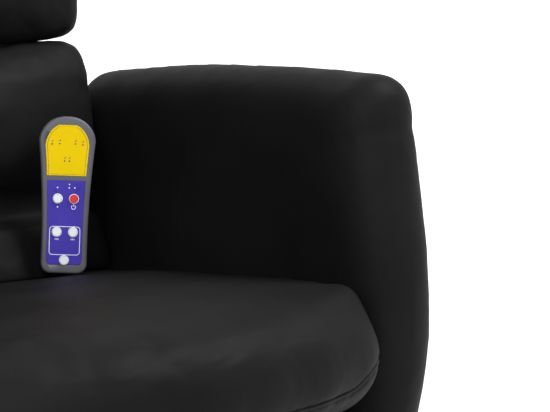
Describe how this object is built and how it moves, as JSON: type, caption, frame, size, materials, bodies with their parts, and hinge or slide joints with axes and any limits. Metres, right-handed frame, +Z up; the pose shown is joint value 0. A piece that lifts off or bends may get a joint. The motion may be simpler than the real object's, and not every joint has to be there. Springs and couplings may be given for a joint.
{
  "type": "massage recliner",
  "caption": "Upholstered massage recliner on a round swivel base, with a reclining back, a scissor footrest worked by a side lever, tub arms and a handset.",
  "frame": {"origin": "on the floor at the swivel axis, under the round base", "axes": "+Z up, front of the chair towards -Y, sitter's left towards +X"},
  "size_m": [0.7305, 0.8372, 1.0385],
  "materials": {
    "leather": "satin, fine grain",
    "plated_steel": "satin plated",
    "base_chrome": "polished",
    "black_steel": "black powder coat",
    "spring_steel": "bright wire",
    "plywood": "raw plywood",
    "black_plastic": "matt",
    "handset_plastic": "fine matt",
    "yellow_film": "satin film",
    "violet_film": "satin film",
    "red_plastic": "gloss",
    "white_plastic": "gloss",
    "board_green": "matt",
    "underlay": "matt"
  },
  "bodies": {
    "base": {"base_underlay": "underlay", "base_plate": "base_chrome", "pedestal_column": "base_chrome", "column_bolts": "plated_steel", "swivel_lower_plate": "plated_steel", "swivel_balls": "plated_steel", "king_pin": "plated_steel"},
    "chassis": {"swivel_upper_plate": "plated_steel", "chassis_frame": "black_steel", "left_side_plate": "black_steel", "right_side_plate": "black_steel", "seat_frame": "black_steel", "seat_springs": "spring_steel", "seat_cushion": "leather", "front_valance": "leather", "left_arm": "leather", "right_arm": "leather", "arm_panels": "plywood", "arm_bolts": "plated_steel", "rear_apron": "leather", "seat_motor_strap": "plated_steel", "seat_motors": "black_plastic", "control_box": "black_plastic", "power_inlet": "black_plastic", "recline_bolts": "plated_steel", "frame_bolts": "plated_steel", "lever_bezel": "black_plastic"},
    "back": {"back_frame": "black_steel", "back_brackets": "black_steel", "back_springs": "spring_steel", "back_shell": "leather", "lumbar_cushion": "leather", "shoulder_cushion": "leather", "head_cushion": "leather", "back_motor_straps": "plated_steel", "back_motors": "black_plastic"},
    "drive": {"torque_tube": "black_steel", "drive_links": "black_steel", "lever_arm": "plated_steel", "lever_grip": "black_plastic", "centre_rivets": "plated_steel", "lower_rivets": "plated_steel"},
    "slot_link": {"slot_links": "plated_steel", "slot_rollers": "plated_steel"},
    "lift_link": {"lift_links": "plated_steel", "lift_rivets": "plated_steel"},
    "footrest": {"footrest_links": "black_steel", "upper_rivets": "plated_steel", "footrest_board": "plywood", "footrest_pad": "leather"},
    "handset": {"handset_rear_shell": "handset_plastic", "handset_front_shell": "handset_plastic", "handset_display_panel": "yellow_film", "handset_keypad_panel": "violet_film", "handset_board": "board_green"},
    "power_button": {"power_button": "red_plastic"},
    "heat_button": {"heat_button": "white_plastic"},
    "left_mode_button": {"left_mode_button": "white_plastic"},
    "right_mode_button": {"right_mode_button": "white_plastic"},
    "speed_button": {"speed_button": "white_plastic"}
  },
  "joints": [
    {"name": "swivel", "type": "hinge", "parent": "base", "child": "chassis", "pos_m": [0, 0, 0.104], "axis": [0, 0, 1], "continuous": true},
    {"name": "recline", "type": "hinge", "parent": "chassis", "child": "back", "pos_m": [0, 0.285, 0.335], "axis": [-1, 0, 0], "range_deg": [0, 38]},
    {"name": "footrest", "type": "hinge", "parent": "chassis", "child": "drive", "pos_m": [0, -0.187, 0.3], "axis": [-1, 0, 0], "range_deg": [0, 73]},
    {"name": "slot_link_hinge", "type": "hinge", "parent": "drive", "child": "slot_link", "pos_m": [0, -0.19987, 0.2084], "axis": [-1, 0, 0], "range_deg": [-146, 0]},
    {"name": "lift_link_hinge", "type": "hinge", "parent": "drive", "child": "lift_link", "pos_m": [0, -0.21275, 0.1168], "axis": [-1, 0, 0], "range_deg": [-146, 0]},
    {"name": "footrest_link_hinge", "type": "hinge", "parent": "lift_link", "child": "footrest", "pos_m": [0, -0.22562, 0.2084], "axis": [-1, 0, 0], "range_deg": [0, 146]},
    {"name": "handset_lift", "type": "slide", "parent": "chassis", "child": "handset", "axis": [0, -0.5, 0.866], "range_m": [0, 0.2]},
    {"name": "power_button_press", "type": "slide", "parent": "handset", "child": "power_button", "axis": [0.4938, 0.8554, -0.1564], "range_m": [0, 0.0008], "stiffness_N_per_m": 900, "springref_m": -0.0006},
    {"name": "heat_button_press", "type": "slide", "parent": "handset", "child": "heat_button", "axis": [0.4938, 0.8554, -0.1564], "range_m": [0, 0.0008], "stiffness_N_per_m": 900, "springref_m": -0.0006},
    {"name": "left_mode_button_press", "type": "slide", "parent": "handset", "child": "left_mode_button", "axis": [0.4938, 0.8554, -0.1564], "range_m": [0, 0.0008], "stiffness_N_per_m": 900, "springref_m": -0.0006},
    {"name": "right_mode_button_press", "type": "slide", "parent": "handset", "child": "right_mode_button", "axis": [0.4938, 0.8554, -0.1564], "range_m": [0, 0.0008], "stiffness_N_per_m": 900, "springref_m": -0.0006},
    {"name": "speed_button_press", "type": "slide", "parent": "handset", "child": "speed_button", "axis": [0.4938, 0.8554, -0.1564], "range_m": [0, 0.0008], "stiffness_N_per_m": 900, "springref_m": -0.0006}
  ],
  "couplings": [
    {"joint": "slot_link_hinge", "follows": "footrest", "ratio": -2},
    {"joint": "lift_link_hinge", "follows": "footrest", "ratio": -2},
    {"joint": "footrest_link_hinge", "follows": "footrest", "ratio": 2}
  ]
}
